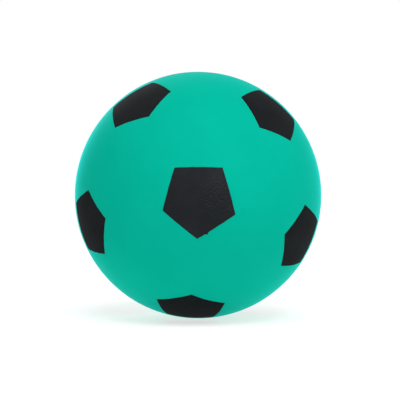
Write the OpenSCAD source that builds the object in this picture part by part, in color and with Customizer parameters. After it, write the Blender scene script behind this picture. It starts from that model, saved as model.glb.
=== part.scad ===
// Foam soccer ball: a soft foam core, a closed skin moulded round it, and twelve black pentagon
// patches that lie flush in shallow recesses of the skin. The patches point the way the twelve
// corners of a regular icosahedron do, and their edges are arcs of great circles.
// The origin is the centre of the ball. +Z is up and the front patch faces -Y, one corner down.

/* [Ball] */
// Outer diameter of the ball
ball_d = 200; // [150:1:220]
// Thickness of the skin, from the foam core to the surface
skin_t = 1.5; // [0.8:0.1:4]

/* [Patches] */
// Distance of the corners of a patch from its axis, before they are rounded
patch_corner_r = 28.9; // [15:0.1:36]
// Radius that rounds the corners of a patch
patch_round_r = 0.8; // [0.3:0.1:4]
// Thickness of a patch
patch_t = 0.3; // [0.1:0.05:0.4]
// Gap between the edge of a patch and the wall of its recess
patch_gap = 0.05; // [0.02:0.01:0.2]

/* [Hidden] */
$fn = 120;
round_fn = 20;
ball_r = ball_d / 2;
core_r = ball_r - skin_t;
// Radius of the recess floors, on which the patches are bonded
floor_r = ball_r - patch_t;
// Height above the ball's centre of the plane through a patch's corners
corner_h = sqrt(ball_r ^ 2 - patch_corner_r ^ 2);
// Height of the wedges that part the patches from the skin, well beyond the surface
wedge_h = ball_d;
// Angle between the axes of two neighbouring patches
neighbour_angle = atan(2);
// Turn from one patch of a ring to the next
ring_step = 360 / 5;

// Each patch has a name, the tilt of its axis from the front axis, the turn of its axis about the
// front axis, counted from straight down, and the turn of its pentagon about its own axis.
FRONT_RING = ["bottom", "right", "upper_right", "upper_left", "left"];
BACK_RING = ["lower_right", "right", "top", "left", "lower_left"];
PATCHES = concat(
    [["patch_front", 0, 0, 0]],
    [for (i = [0:4]) [str("patch_front_", FRONT_RING[i]), neighbour_angle, i * ring_step, 180]],
    [for (i = [0:4]) [str("patch_back_", BACK_RING[i]), 180 - neighbour_angle, (i + 0.5) * ring_step, 0]],
    [["patch_back", 180, 0.5 * ring_step, 180]]
);

// Turns a shape from the +Z axis to the axis of one patch, its +X side becoming a corner's side
module at_patch(patch) {
    rotate([90, 0, 0])
        rotate([0, 0, patch[2] - 90])
            rotate([0, patch[1], 0])
                rotate([0, 0, patch[3]])
                    children();
}

// Five-sided wedge with its tip at the ball's centre, grown by a margin at the corners' height
module patch_wedge(margin) {
    translate([0, 0, wedge_h])
        mirror([0, 0, 1])
            linear_extrude(height = wedge_h, scale = 0)
                scale(wedge_h / corner_h)
                    offset(r = patch_round_r + margin, $fn = round_fn)
                        offset(delta = -patch_round_r)
                            circle(r = patch_corner_r, $fn = 5);
}

module foam_core() {
    color("ivory")
        sphere(r = core_r);
}

module skin() {
    color("mediumaquamarine")
        difference() {
            sphere(r = ball_r);
            sphere(r = core_r);
            for (patch = PATCHES)
                difference() {
                    at_patch(patch)
                        patch_wedge(patch_gap);
                    sphere(r = floor_r);
                }
        }
}

module pentagon_patch(patch) {
    color("darkslategray")
        intersection() {
            at_patch(patch)
                patch_wedge(0);
            difference() {
                sphere(r = ball_r);
                sphere(r = floor_r);
            }
        }
}

foam_core();
skin();
for (patch = PATCHES)
    pentagon_patch(patch);
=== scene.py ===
import math

import bmesh
import bpy
from mathutils import Matrix, Vector, geometry, noise


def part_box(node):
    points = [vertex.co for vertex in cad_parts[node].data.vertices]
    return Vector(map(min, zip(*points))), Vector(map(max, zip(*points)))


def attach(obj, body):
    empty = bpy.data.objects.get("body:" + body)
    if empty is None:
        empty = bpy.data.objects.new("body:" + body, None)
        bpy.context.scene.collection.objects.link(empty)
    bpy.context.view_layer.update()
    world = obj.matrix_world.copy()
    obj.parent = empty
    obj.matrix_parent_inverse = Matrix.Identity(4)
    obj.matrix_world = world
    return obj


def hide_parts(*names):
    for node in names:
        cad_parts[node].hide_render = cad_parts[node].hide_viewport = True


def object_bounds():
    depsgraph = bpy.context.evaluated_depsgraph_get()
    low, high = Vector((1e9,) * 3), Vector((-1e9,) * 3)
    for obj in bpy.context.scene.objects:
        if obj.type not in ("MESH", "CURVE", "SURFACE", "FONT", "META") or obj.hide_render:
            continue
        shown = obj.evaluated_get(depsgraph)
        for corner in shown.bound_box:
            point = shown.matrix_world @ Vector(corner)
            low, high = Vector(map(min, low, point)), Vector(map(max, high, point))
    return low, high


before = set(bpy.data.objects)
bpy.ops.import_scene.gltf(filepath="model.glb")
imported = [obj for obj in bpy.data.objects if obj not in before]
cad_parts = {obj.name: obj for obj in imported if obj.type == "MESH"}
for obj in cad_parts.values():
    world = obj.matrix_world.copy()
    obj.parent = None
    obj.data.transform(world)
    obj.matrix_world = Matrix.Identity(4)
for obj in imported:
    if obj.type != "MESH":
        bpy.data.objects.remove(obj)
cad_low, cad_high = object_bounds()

# Sizes in metres: the radii come from the frame, the small ones are those of the solids
MM = 0.001
BALL_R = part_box("skin")[1].z
CORE_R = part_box("foam_core")[1].z
PATCH_CORNER_R = 28.9 * MM
PATCH_T = 0.3 * MM
PATCH_GAP = 0.05 * MM

# Angle from a patch's axis to its corners, and the radius of a recess floor as a share of the ball's
PATCH_TILT = math.asin(PATCH_CORNER_R / BALL_R)
RECESS_SHARE = (BALL_R - PATCH_T) / BALL_R

# Rounding of the edges of patches and recesses
EDGE_ROUND = 0.1 * MM
EDGE_SEGMENTS = 2

# Directions and turns in the part's frame
FRONT = Vector((0, -1, 0))
UP = Vector((0, 0, 1))
QUARTER_TURN = math.radians(90)

# The patches are numbered from 1 in this order
PATCH_NODES = [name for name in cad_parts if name.startswith("patch_")]
FRONT_PATCH = "patch_front"

# Corners of the prints that show in the photograph, in its pixels, across and down. They go round
# counter-clockwise from the corner next to the front patch, or from the front patch's lowest one.
PRINT_CORNERS = {
    "patch_front": ((197, 239), (235.5, 214.5), (222.5, 167.5), (174.5, 167.5), (162.5, 210.5)),
    "patch_front_bottom": ((191.5, 294.5), (156.5, 299), (167.5, 314), (212.5, 317), (225, 303)),
    "patch_front_right": ((284.5, 234.5), (281, 266), (300.5, 262), (317.5, 221), (305, 204.5)),
    "patch_front_upper_right": ((259.5, 127.5), (290.5, 141), (294, 119.5), (260, 90), (241, 97)),
    "patch_front_upper_left": ((149, 116.5), (171, 91.5), (152.5, 82.5), (113.5, 107), (115, 128)),
    "patch_front_left": ((105.5, 218.5), (88.5, 190), (76, 203), (88, 248.5), (105, 254)),
}

# Angles from the middle of a print at which the skin follows it wholly and no longer follows it
FOLLOW_WHOLE = math.radians(19)
FOLLOW_NONE = math.radians(31)

# Small nub where the black ran out past an edge of the front patch: its tip in the photograph, its
# half width, and how far the skin ahead of it gives way
NUB_TIP = (207.5, 235)
NUB_HALF_WIDTH = 0.8 * MM
NUB_AHEAD = 3.0 * MM

# Unevenness of the printed edges, the moulded surface and the core: about how far their points move,
# and how many waves come to a radius. The prints' noise needs a seed to come out the same each time.
PRINT_WOBBLE = 0.2 * MM
PRINT_WAVES = 16.0
PRINT_SEED = 1
MOULD_SWELL = 0.12 * MM
MOULD_WAVES = 2.6
CORE_DENTS = 0.3 * MM
CORE_WAVES = 30.0

# Fineness of the meshes, and how much more large faces count than small ones in their shading
PATTERN_CUTS = 27
INSIDE_SUBDIVISIONS = 6
CORE_SUBDIVISIONS = 7
FLOOR_SIDES = 96
LARGE_FACE_WEIGHT = 100

# The ball in the photograph, in pixels, and the camera's place round it
PHOTO_SIDE = 400
PHOTO_LENS = 1604
BALL_ACROSS = 198.06
BALL_DOWN = 195.1
CAMERA_DISTANCE = 13.05 * BALL_R
CAMERA_AZIMUTH = math.radians(-0.2)
CAMERA_ELEVATION = math.radians(2.15)
CAMERA_ROLL = math.radians(-4.1)

# Grain of each finish: the scale of its noise, then for the pinholes the scale of their cells, their
# size in a cell, the share of cells that have one, their depth, and how far the grain pulls them
# out of round
SKIN_GRAIN = {
    "Grain Scale": 650,
    "Pinhole Scale": 400,
    "Pinhole Size": 0.13,
    "Pinhole Share": 0.12,
    "Pinhole Depth": 2.0,
    "Pinhole Pull": 0.5 * MM,
}
COAT_GRAIN = {
    "Grain Scale": 900,
    "Pinhole Scale": 480,
    "Pinhole Size": 0.34,
    "Pinhole Share": 0.85,
    "Pinhole Depth": 5.0,
    "Pinhole Pull": 1.6 * MM,
}
FOAM_GRAIN = {
    "Grain Scale": 900,
    "Pinhole Scale": 480,
    "Pinhole Size": 0.13,
    "Pinhole Share": 0.9,
    "Pinhole Depth": 1.0,
    "Pinhole Pull": 0.5 * MM,
}

# What every grain shares: its detail, the middle of its noise, where a pinhole's wall begins and ends
# between its middle and its rim, and the scale, detail and useful range of the cloudy tone
GRAIN_DETAIL = 3.0
NOISE_MIDDLE = (0.5, 0.5, 0.5)
PINHOLE_WALL = (0.4, 1.0)
CLOUD_SCALE = 28.0
CLOUD_DETAIL = 4.0
CLOUD_RANGE = (0.3, 0.7)

# Teal skin: its two cloudy tones, the darker teal painted in its pinholes as shade, its roughness, which
# follows the tone, its relief, and its refractive index, low because the fine grain breaks up the gloss
TEAL_TONES = ((0.001, 0.45, 0.318), (0.0016, 0.47, 0.336))
TEAL_PINHOLE_SHADE = (0.001, 0.36, 0.25)
TEAL_ROUGHNESS = (0.52, 0.6)
TEAL_RELIEF = 0.06 * MM
TEAL_IOR = 1.03

# Soft sheen of the skin toward its outline
SHEEN_WEIGHT = 0.8
SHEEN_ROUGHNESS = 0.3
SHEEN_TINT = (0.06, 1.0, 1.0)

# Black coat: the same values, the paler tones of painted light round the front patch, the painted shade
# in its pits and the painted highlight on their lips
BLACK_TONES = ((0.0094, 0.0108, 0.0122), (0.0156, 0.0176, 0.0196))
PAINTED_LIGHT_TONES = ((0.0145, 0.0163, 0.0186), (0.0245, 0.0267, 0.0298))
PIT_SHADE_COLOUR = (0.009, 0.0102, 0.0115)
LIP_HIGHLIGHT_COLOUR = (0.04, 0.041, 0.045)
BLACK_ROUGHNESS = (0.55, 0.68)
BLACK_RELIEF = 0.04 * MM
BLACK_IOR = 1.05

# Part of the front patch where the pits of the black coat gather: its middle in the photograph, how
# far from there they are whole and have faded, and the share that is left of them elsewhere. Their
# pale lips, a painted highlight where light from above would catch them, lie a little below them.
PITTED_MIDDLE = (218, 196)
PITTED_RANGE = (9 * MM, 19 * MM)
PITS_ELSEWHERE = 0.1
LIP_HIGHLIGHT_DROP = (0, 0, 0.8 * MM)

# How far from there the coat is painted wholly paler and no longer paler: painted light, lighter on the
# front patch that faces the front light
PAINTED_LIGHT_RANGE = (40 * MM, 70 * MM)

# Cream foam: its two cloudy tones, the darker colour painted in its cells as shade, its roughness and its
# relief
CREAM_TONES = ((0.82, 0.74, 0.54), (0.88, 0.82, 0.66))
CREAM_CELL_SHADE = (0.52, 0.44, 0.28)
CREAM_ROUGHNESS = (0.85, 0.95)
CREAM_RELIEF = 0.4 * MM

# Sizes of the stage
FLOOR_R = 1.0
SOFT_BOX_D = 1.5
SOFT_BOX_AWAY = 2.0

# Light levels, where 1 makes white render white. The floor and the room show white, and have other
# levels for the light that they throw on the ball. The floor throws less in front of the ball than
# behind it.
WHITE = (1, 1, 1)
SHOWN_ROOM_LEVEL = 1.0
ROOM_LEVEL = 0.35
SHOWN_FLOOR_COLOUR = (0.5, 0.5, 0.5)
SHOWN_FLOOR_GLOW = 0.66
FLOOR_COLOUR = (0.85, 0.85, 0.85)
FRONT_FLOOR_GLOW = 0.2
BACK_FLOOR_GLOW = 0.75

# Places of the colour sockets of a Mix node
MIX_FIRST_COLOUR = 6
MIX_SECOND_COLOUR = 7
MIX_COLOUR = 2


def add_object(name, data):
    item = bpy.data.objects.new(name, data)
    bpy.context.collection.objects.link(item)
    return item


# Camera

def direction(azimuth, elevation):
    """Direction from the ball at an azimuth, counted from the front to the right, and an elevation."""
    flat = math.cos(elevation)
    return Vector((math.sin(azimuth) * flat, -math.cos(azimuth) * flat, math.sin(elevation)))


def camera_axes():
    """Directions to the right in the photograph, up in it, and from the ball to the camera."""
    back = direction(CAMERA_AZIMUTH, CAMERA_ELEVATION)
    level_right = UP.cross(back).normalized()
    level_up = back.cross(level_right)
    up = level_up * math.cos(CAMERA_ROLL) + level_right * math.sin(CAMERA_ROLL)
    return up.cross(back), up, back


def on_ball(pixel):
    """Point of the ball's surface that shows at a pixel of the photograph."""
    right, up, back = camera_axes()
    across = (pixel[0] - BALL_ACROSS) / PHOTO_LENS
    down = (pixel[1] - BALL_DOWN) / PHOTO_LENS
    eye = back * CAMERA_DISTANCE
    beyond = eye + right * across - up * down - back
    hits = geometry.intersect_line_sphere(eye, beyond, Vector(), BALL_R, False)
    return min(hits, key=lambda hit: (hit - eye).length)


def make_camera():
    right, up, back = camera_axes()
    turn = Matrix((right, up, back)).transposed()
    data = bpy.data.cameras.new("camera")
    data.lens = PHOTO_LENS / PHOTO_SIDE * data.sensor_width
    data.shift_x = (PHOTO_SIDE / 2 - BALL_ACROSS) / PHOTO_SIDE
    data.shift_y = (BALL_DOWN - PHOTO_SIDE / 2) / PHOTO_SIDE
    camera = add_object("camera", data)
    camera.matrix_world = Matrix.Translation(back * CAMERA_DISTANCE) @ turn.to_4x4()
    bpy.context.scene.camera = camera


# Material helpers

def new_material(name):
    material = bpy.data.materials.new(name)
    material.use_nodes = True
    tree = material.node_tree
    return material, tree, tree.nodes["Principled BSDF"]


def feed(tree, socket, value):
    """Links another node's output to a socket, or sets the socket to a plain value or colour."""
    if isinstance(value, bpy.types.NodeSocket):
        tree.links.new(value, socket)
    elif socket.type == "RGBA":
        socket.default_value = (*value, 1)
    else:
        socket.default_value = value


def object_place(tree, shift=(0, 0, 0)):
    node = tree.nodes.new("ShaderNodeMapping")
    feed(tree, node.inputs["Location"], shift)
    feed(tree, node.inputs["Vector"], tree.nodes.new("ShaderNodeTexCoord").outputs["Object"])
    return node.outputs["Vector"]


def add_noise(tree, place, scale, detail):
    node = tree.nodes.new("ShaderNodeTexNoise")
    feed(tree, node.inputs["Vector"], place)
    feed(tree, node.inputs["Scale"], scale)
    feed(tree, node.inputs["Detail"], detail)
    return node.outputs


def add_range(tree, value, given, wanted, soft=False):
    """Carries a value from the given range to the wanted one."""
    node = tree.nodes.new("ShaderNodeMapRange")
    node.interpolation_type = "SMOOTHSTEP" if soft else "LINEAR"
    feed(tree, node.inputs["Value"], value)
    for name, limit in zip(("From Min", "From Max", "To Min", "To Max"), (*given, *wanted)):
        feed(tree, node.inputs[name], limit)
    return node.outputs["Result"]


def add_math(tree, operation, first, second):
    node = tree.nodes.new("ShaderNodeMath")
    node.operation = operation
    for socket, value in zip(node.inputs, (first, second)):
        feed(tree, socket, value)
    return node.outputs["Value"]


def add_vector_math(tree, operation, *values):
    node = tree.nodes.new("ShaderNodeVectorMath")
    node.operation = operation
    for socket, value in zip(node.inputs, values):
        feed(tree, socket, value)
    return node.outputs["Value" if operation == "DISTANCE" else "Vector"]


def add_colour_mix(tree, factor, first, second):
    node = tree.nodes.new("ShaderNodeMix")
    node.data_type = "RGBA"
    feed(tree, node.inputs["Factor"], factor)
    feed(tree, node.inputs[MIX_FIRST_COLOUR], first)
    feed(tree, node.inputs[MIX_SECOND_COLOUR], second)
    return node.outputs[MIX_COLOUR]


def add_bump(tree, height, distance):
    node = tree.nodes.new("ShaderNodeBump")
    feed(tree, node.inputs["Strength"], 1.0)
    feed(tree, node.inputs["Distance"], distance)
    feed(tree, node.inputs["Height"], height)
    return node.outputs["Normal"]


def make_foam_grain():
    """Fine surface of moulded foam for every finish: its relief, its pinholes and its cloudy tone."""
    group = bpy.data.node_groups.new("moulded_foam_grain", "ShaderNodeTree")
    for name in SKIN_GRAIN:
        group.interface.new_socket(name, in_out="INPUT", socket_type="NodeSocketFloat")
    group.interface.new_socket("Place", in_out="INPUT", socket_type="NodeSocketVector")
    for name in ("Height", "Pinholes", "Cloud"):
        group.interface.new_socket(name, in_out="OUTPUT", socket_type="NodeSocketFloat")
    given = group.nodes.new("NodeGroupInput").outputs
    result = group.nodes.new("NodeGroupOutput").inputs

    grain = add_noise(group, given["Place"], given["Grain Scale"], GRAIN_DETAIL)
    pull = add_vector_math(group, "SUBTRACT", grain["Color"], NOISE_MIDDLE)
    pulled = add_vector_math(group, "MULTIPLY_ADD", pull, given["Pinhole Pull"], given["Place"])
    cells = group.nodes.new("ShaderNodeTexVoronoi")
    feed(group, cells.inputs["Vector"], pulled)
    feed(group, cells.inputs["Scale"], given["Pinhole Scale"])
    off_middle = add_math(group, "DIVIDE", cells.outputs["Distance"], given["Pinhole Size"])
    hole = add_range(group, off_middle, PINHOLE_WALL, (1, 0), soft=True)
    chance = group.nodes.new("ShaderNodeSeparateColor")
    feed(group, chance.inputs["Color"], cells.outputs["Color"])
    kept = add_math(group, "LESS_THAN", chance.outputs["Red"], given["Pinhole Share"])
    pinholes = add_math(group, "MULTIPLY", hole, kept)
    sunk = add_math(group, "MULTIPLY", pinholes, given["Pinhole Depth"])

    feed(group, result["Height"], add_math(group, "SUBTRACT", grain["Fac"], sunk))
    feed(group, result["Pinholes"], pinholes)
    feed(group, result["Cloud"], add_noise(group, given["Place"], CLOUD_SCALE, CLOUD_DETAIL)["Fac"])
    return group


def add_foam_grain(tree, group, place, values):
    node = tree.nodes.new("ShaderNodeGroup")
    node.node_tree = group
    feed(tree, node.inputs["Place"], place)
    for name, value in values.items():
        feed(tree, node.inputs[name], value)
    return node.outputs


def cloudy_colour(tree, grain, tones):
    """Colour that wanders between two tones."""
    tone = add_range(tree, grain["Cloud"], CLOUD_RANGE, (0, 1))
    return add_colour_mix(tree, tone, *tones)


def dress_shader(tree, shader, grain, colour, roughness, relief):
    """Gives a shader its colour, a roughness that wanders with the cloudy tone, and its relief."""
    feed(tree, shader.inputs["Base Color"], colour)
    feed(tree, shader.inputs["Roughness"], add_range(tree, grain["Cloud"], CLOUD_RANGE, roughness))
    feed(tree, shader.inputs["Normal"], add_bump(tree, grain["Height"], relief))


# Finishes

def teal_skin_finish(grain_group):
    material, tree, shader = new_material("teal_foam_skin")
    grain = add_foam_grain(tree, grain_group, object_place(tree), SKIN_GRAIN)
    teal = cloudy_colour(tree, grain, TEAL_TONES)
    # Painted shade: the pinholes are coloured a darker teal where they sink
    pit_shaded = add_colour_mix(tree, grain["Pinholes"], teal, TEAL_PINHOLE_SHADE)
    dress_shader(tree, shader, grain, pit_shaded, TEAL_ROUGHNESS, TEAL_RELIEF)
    feed(tree, shader.inputs["IOR"], TEAL_IOR)
    feed(tree, shader.inputs["Sheen Weight"], SHEEN_WEIGHT)
    feed(tree, shader.inputs["Sheen Roughness"], SHEEN_ROUGHNESS)
    feed(tree, shader.inputs["Sheen Tint"], SHEEN_TINT)
    return material


def black_patch_finish(grain_group):
    material, tree, shader = new_material("matt_black_coat")
    place = object_place(tree)
    grain = add_foam_grain(tree, grain_group, place, COAT_GRAIN)
    # Painted highlight: a copy of the pits moved down paints pale lips below them, as if lit from above
    lip_highlight_grain = add_foam_grain(tree, grain_group, object_place(tree, LIP_HIGHLIGHT_DROP), COAT_GRAIN)
    away = add_vector_math(tree, "DISTANCE", place, on_ball(PITTED_MIDDLE))
    gathered = add_range(tree, away, PITTED_RANGE, (1, PITS_ELSEWHERE))
    # Painted light: the coat is paler round the front patch and darker on the patches round it
    painted_light = add_range(tree, away, PAINTED_LIGHT_RANGE, (1, 0))
    black = cloudy_colour(tree, grain, BLACK_TONES)
    paler = cloudy_colour(tree, grain, PAINTED_LIGHT_TONES)
    coat = add_colour_mix(tree, painted_light, black, paler)
    lip_highlights = add_math(tree, "MULTIPLY", lip_highlight_grain["Pinholes"], gathered)
    lip_highlighted = add_colour_mix(tree, lip_highlights, coat, LIP_HIGHLIGHT_COLOUR)
    # Painted shade: the pits are coloured darker than the coat round them
    pit_shade = add_math(tree, "MULTIPLY", grain["Pinholes"], gathered)
    pit_shaded = add_colour_mix(tree, pit_shade, lip_highlighted, PIT_SHADE_COLOUR)
    dress_shader(tree, shader, grain, pit_shaded, BLACK_ROUGHNESS, BLACK_RELIEF)
    feed(tree, shader.inputs["IOR"], BLACK_IOR)
    return material


def cream_foam_finish(grain_group):
    material, tree, shader = new_material("cream_open_foam")
    grain = add_foam_grain(tree, grain_group, object_place(tree), FOAM_GRAIN)
    cream = cloudy_colour(tree, grain, CREAM_TONES)
    # Painted shade: the foam's cells are coloured darker where they sink
    cell_shaded = add_colour_mix(tree, grain["Pinholes"], cream, CREAM_CELL_SHADE)
    dress_shader(tree, shader, grain, cell_shaded, CREAM_ROUGHNESS, CREAM_RELIEF)
    return material


# Printed pattern

def cut_pentagons():
    """Icosahedron with its corners cut off to twelve pentagons, one of them at the front."""
    ball = bmesh.new()
    bmesh.ops.create_icosphere(ball, subdivisions=1, radius=BALL_R)
    front_turn = Matrix.Rotation(QUARTER_TURN, 3, "X") @ Matrix.Rotation(-QUARTER_TURN, 3, "Z")
    bmesh.ops.rotate(ball, verts=ball.verts, matrix=front_turn)
    # The triangle of the ball's centre, a corner of the icosahedron and a corner of its pentagon
    # gives the share of each edge that is cut off
    edge_length = next(iter(ball.edges)).calc_length() / BALL_R
    edge_tilt = math.acos(edge_length / 2)
    share = math.sin(PATCH_TILT) / math.sin(edge_tilt + PATCH_TILT) / edge_length
    bmesh.ops.bevel(
        ball, geom=ball.verts[:], offset=share * 100, offset_type="PERCENT",
        affect="VERTICES", segments=1, profile=0.5, material=-1,
    )
    return ball


def number_pentagons(ball):
    """Keeps the number of each pentagon's patch as its material index, and 0 for the skin's faces."""
    for face in ball.faces:
        face.material_index = 0
    for number, node in enumerate(PATCH_NODES, start=1):
        toward = sum(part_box(node), Vector())
        pentagon = max(ball.faces, key=lambda face: face.calc_center_median().dot(toward))
        pentagon.material_index = number


def pattern_ball():
    """Surface of the ball cut along the edges of the twelve prints, which keep their numbers."""
    ball = cut_pentagons()
    number_pentagons(ball)
    bmesh.ops.poke(ball, faces=ball.faces[:])
    bmesh.ops.subdivide_edges(ball, edges=ball.edges[:], cuts=PATTERN_CUTS, use_grid_fill=True)
    for vert in ball.verts:
        vert.co *= BALL_R / vert.co.length
    for node, pixels in PRINT_CORNERS.items():
        reshape_print(ball, node, [on_ball(pixel).normalized() for pixel in pixels])
    noise.seed_set(PRINT_SEED)
    for vert in ball.verts:
        wobble = noise.noise_vector(vert.co / BALL_R * PRINT_WAVES) * PRINT_WOBBLE
        vert.co = (vert.co + wobble).normalized() * BALL_R
    draw_out_nub(ball)
    return ball


def print_verts(ball, node):
    number = PATCH_NODES.index(node) + 1
    return [vert for vert in ball.verts if any(face.material_index == number for face in vert.link_faces)]


def print_axes(ball, node):
    """Directions out of the ball, to the first corner and sideways at the middle of one print."""
    out = sum((vert.co for vert in print_verts(ball, node)), Vector()).normalized()
    aim = -UP if node == FRONT_PATCH else FRONT
    first = (aim - out * out.dot(aim)).normalized()
    return out, first, out.cross(first)


def sector_maps(out, corners, seen_corners):
    """Linear maps that carry each sector of a regular print to where it shows."""
    seen_out = sum(seen_corners, Vector()).normalized()
    maps = []
    for i in range(len(corners)):
        following = (i + 1) % len(corners)
        regular = Matrix((out, corners[i], corners[following])).transposed()
        seen = Matrix((seen_out, seen_corners[i], seen_corners[following])).transposed()
        maps.append(seen @ regular.inverted())
    return maps


def follow_share(angle):
    """Share of a print's move that the ball takes at an angle from its middle, eased at both ends."""
    part = min(1.0, (FOLLOW_NONE - angle) / (FOLLOW_NONE - FOLLOW_WHOLE))
    return part * part * (3 - 2 * part)


def reshape_print(ball, node, seen_corners):
    """Carries one print to the corners that show, sector by sector, and eases the skin round it."""
    out, first, side = print_axes(ball, node)
    step = math.tau / len(seen_corners)
    turns = [first * math.cos(step * i) + side * math.sin(step * i) for i in range(len(seen_corners))]
    corners = [out * math.cos(PATCH_TILT) + turn * math.sin(PATCH_TILT) for turn in turns]
    maps = sector_maps(out, corners, seen_corners)
    for vert in ball.verts:
        angle = vert.co.angle(out)
        if angle < FOLLOW_NONE:
            turn = math.atan2(vert.co.dot(side), vert.co.dot(first)) % math.tau
            sector = int(turn / step) % len(maps)
            carried = (maps[sector] @ vert.co).normalized() * BALL_R
            vert.co = vert.co.lerp(carried, follow_share(angle)).normalized() * BALL_R


def draw_out_nub(ball):
    """Draws a short stretch of the front print's edge out to a tip, with the skin ahead of it."""
    own = set(print_verts(ball, FRONT_PATCH))
    rim = [vert for vert in own if any(edge.other_vert(vert) not in own for edge in vert.link_edges)]
    tip = on_ball(NUB_TIP)
    root = min((vert.co.copy() for vert in rim), key=lambda place: (place - tip).length)
    way = (tip - root).normalized()
    for vert in ball.verts:
        away = vert.co - root
        ahead = away.dot(way)
        beside = (away - way * ahead).length
        nearness = math.exp(-(beside / NUB_HALF_WIDTH) ** 2 - (ahead / NUB_AHEAD) ** 2)
        vert.co = (vert.co + (tip - root) * nearness).normalized() * BALL_R


# Pieces

def mesh_object(name, mesh_work, material):
    for face in mesh_work.faces:
        face.smooth = True
        face.material_index = 0
    mesh = bpy.data.meshes.new(name)
    mesh_work.to_mesh(mesh)
    mesh_work.free()
    mesh.materials.append(material)
    piece = add_object(name, mesh)
    even = piece.modifiers.new("even_shading", "WEIGHTED_NORMAL")
    even.weight = LARGE_FACE_WEIGHT
    return piece


def sink(mesh_work, extruded):
    """Moves extruded points in from the ball's surface to the radius of a recess floor."""
    verts = [item for item in extruded if isinstance(item, bmesh.types.BMVert)]
    bmesh.ops.scale(mesh_work, vec=(RECESS_SHARE,) * 3, verts=verts)


def rim_edges(mesh_work):
    """Edges on the surface that have a recess wall or a patch's side on one side."""
    inside = BALL_R - PATCH_T / 2
    deep = {face for face in mesh_work.faces if min(vert.co.length for vert in face.verts) < inside}
    return [
        edge for edge in mesh_work.edges
        if min(vert.co.length for vert in edge.verts) > inside
        and sum(face in deep for face in edge.link_faces) == 1
    ]


def round_rim(mesh_work):
    bmesh.ops.bevel(
        mesh_work, geom=rim_edges(mesh_work), offset=EDGE_ROUND, offset_type="OFFSET",
        affect="EDGES", segments=EDGE_SEGMENTS, profile=0.5, material=-1,
    )


def swell(mesh_work):
    """Moves the surface in and out a little, by the same amount for all pieces at one place."""
    for vert in mesh_work.verts:
        outward = vert.co.normalized()
        vert.co += outward * noise.noise(outward * MOULD_WAVES) * MOULD_SWELL


def make_core(material):
    """Foam ball with small dents all over."""
    core = bmesh.new()
    bmesh.ops.create_icosphere(core, subdivisions=CORE_SUBDIVISIONS, radius=CORE_R)
    for vert in core.verts:
        outward = vert.co.normalized()
        vert.co -= outward * CORE_DENTS * abs(noise.noise(outward * CORE_WAVES))
    return mesh_object("core_moulded", core, material)


def make_skin(pattern, material):
    """Closed shell with a recess for each print, and the core's radius inside."""
    skin = pattern.copy()
    windows = [face for face in skin.faces if face.material_index > 0]
    recesses = bmesh.ops.extrude_face_region(skin, geom=windows)["geom"]
    bmesh.ops.delete(skin, geom=[face for face in windows if face.is_valid], context="FACES")
    sink(skin, recesses)
    round_rim(skin)
    swell(skin)
    outside = set(skin.faces)
    bmesh.ops.create_icosphere(skin, subdivisions=INSIDE_SUBDIVISIONS, radius=CORE_R)
    bmesh.ops.reverse_faces(skin, faces=[face for face in skin.faces if face not in outside])
    return mesh_object("skin_moulded", skin, material)


def make_patch(pattern, number, node, material):
    """Coat of black in one recess, smaller than it by the gap all round."""
    patch = pattern.copy()
    others = [face for face in patch.faces if face.material_index != number]
    bmesh.ops.delete(patch, geom=others, context="FACES")
    axis = sum((vert.co for vert in patch.verts), Vector()).normalized()
    for vert in patch.verts:
        across = vert.co - axis * vert.co.dot(axis)
        vert.co -= across * PATCH_GAP / PATCH_CORNER_R
        vert.co *= BALL_R / vert.co.length
    under = bmesh.ops.extrude_face_region(patch, geom=patch.faces[:], use_keep_orig=True)["geom"]
    sink(patch, under)
    bmesh.ops.recalc_face_normals(patch, faces=patch.faces[:])
    round_rim(patch)
    swell(patch)
    return mesh_object(node + "_coat", patch, material)


# Stage and light

def add_seen(tree):
    """1 for rays that show the stage as a background, 0 for rays that only carry its light."""
    path = tree.nodes.new("ShaderNodeLightPath").outputs
    seen = add_math(tree, "MAXIMUM", path["Is Camera Ray"], path["Is Glossy Ray"])
    return add_math(tree, "MAXIMUM", seen, path["Is Transmission Ray"])


def white_floor_finish():
    """White with the ball's shadow where it shows, and a pale floor that glows for other rays."""
    material, tree, shader = new_material("white_floor")
    seen = add_seen(tree)
    colour = add_colour_mix(tree, seen, FLOOR_COLOUR, SHOWN_FLOOR_COLOUR)
    feed(tree, shader.inputs["Base Color"], colour)
    feed(tree, shader.inputs["Roughness"], 1.0)
    feed(tree, shader.inputs["Specular IOR Level"], 0.0)
    feed(tree, shader.inputs["Emission Color"], WHITE)
    place = tree.nodes.new("ShaderNodeSeparateXYZ")
    feed(tree, place.inputs["Vector"], object_place(tree))
    glows = (FRONT_FLOOR_GLOW, BACK_FLOOR_GLOW)
    glow = add_range(tree, place.outputs["Y"], (-BALL_R, BALL_R), glows)
    unseen = add_math(tree, "SUBTRACT", 1.0, seen)
    thrown = add_math(tree, "MULTIPLY", glow, unseen)
    shown = add_math(tree, "MULTIPLY", seen, SHOWN_FLOOR_GLOW)
    feed(tree, shader.inputs["Emission Strength"], add_math(tree, "ADD", thrown, shown))
    return material


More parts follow.
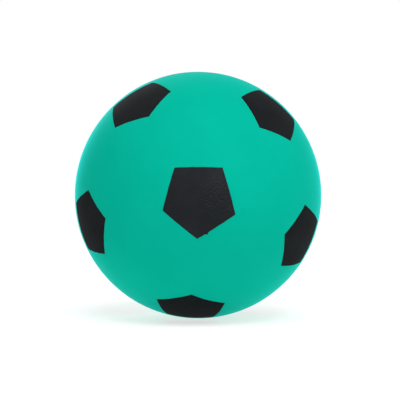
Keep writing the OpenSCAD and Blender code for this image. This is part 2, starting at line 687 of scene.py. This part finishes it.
def make_floor():
    """Round floor under the ball, turned about the line of sight to look level in the photograph."""
    plane = bmesh.new()
    bmesh.ops.create_circle(plane, cap_ends=True, segments=FLOOR_SIDES, radius=FLOOR_R)
    bmesh.ops.translate(plane, vec=(0, 0, cad_low.z), verts=plane.verts)
    sight = direction(CAMERA_AZIMUTH, CAMERA_ELEVATION)
    bmesh.ops.rotate(plane, matrix=Matrix.Rotation(-CAMERA_ROLL, 3, sight), verts=plane.verts)
    mesh_object("floor", plane, white_floor_finish())


def make_room():
    world = bpy.data.worlds.new("white_room")
    world.use_nodes = True
    tree = world.node_tree
    background = tree.nodes["Background"]
    level = add_range(tree, add_seen(tree), (0, 1), (ROOM_LEVEL, SHOWN_ROOM_LEVEL))
    feed(tree, background.inputs["Color"], WHITE)
    feed(tree, background.inputs["Strength"], level)
    bpy.context.scene.world = world


def make_soft_box(name, azimuth, elevation, level):
    """Round soft light; at a level of 1 it alone makes a white surface that faces it render white."""
    toward = direction(math.radians(azimuth), math.radians(elevation))
    data = bpy.data.lights.new(name, "AREA")
    data.shape = "DISK"
    data.size = SOFT_BOX_D
    data.energy = level * math.pi ** 2 * SOFT_BOX_AWAY ** 2
    box = add_object(name, data)
    box.location = toward * SOFT_BOX_AWAY
    box.rotation_euler = toward.to_track_quat("Z", "Y").to_euler()


make_camera()
grain_group = make_foam_grain()
teal = teal_skin_finish(grain_group)
black = black_patch_finish(grain_group)
cream = cream_foam_finish(grain_group)
pattern = pattern_ball()

core = make_core(cream)
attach(core, "root")
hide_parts("foam_core")

skin = make_skin(pattern, teal)
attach(skin, "root")
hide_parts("skin")

for number, node in enumerate(PATCH_NODES, start=1):
    coat = make_patch(pattern, number, node, black)
    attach(coat, "root")
    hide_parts(node)
pattern.free()

make_floor()
make_room()
make_soft_box("front_soft_box", azimuth=0, elevation=60, level=0.63)
make_soft_box("right_soft_box", azimuth=45, elevation=45, level=0.19)
make_soft_box("back_soft_box", azimuth=200, elevation=30, level=0.32)
bpy.context.scene.view_settings.view_transform = "Standard"
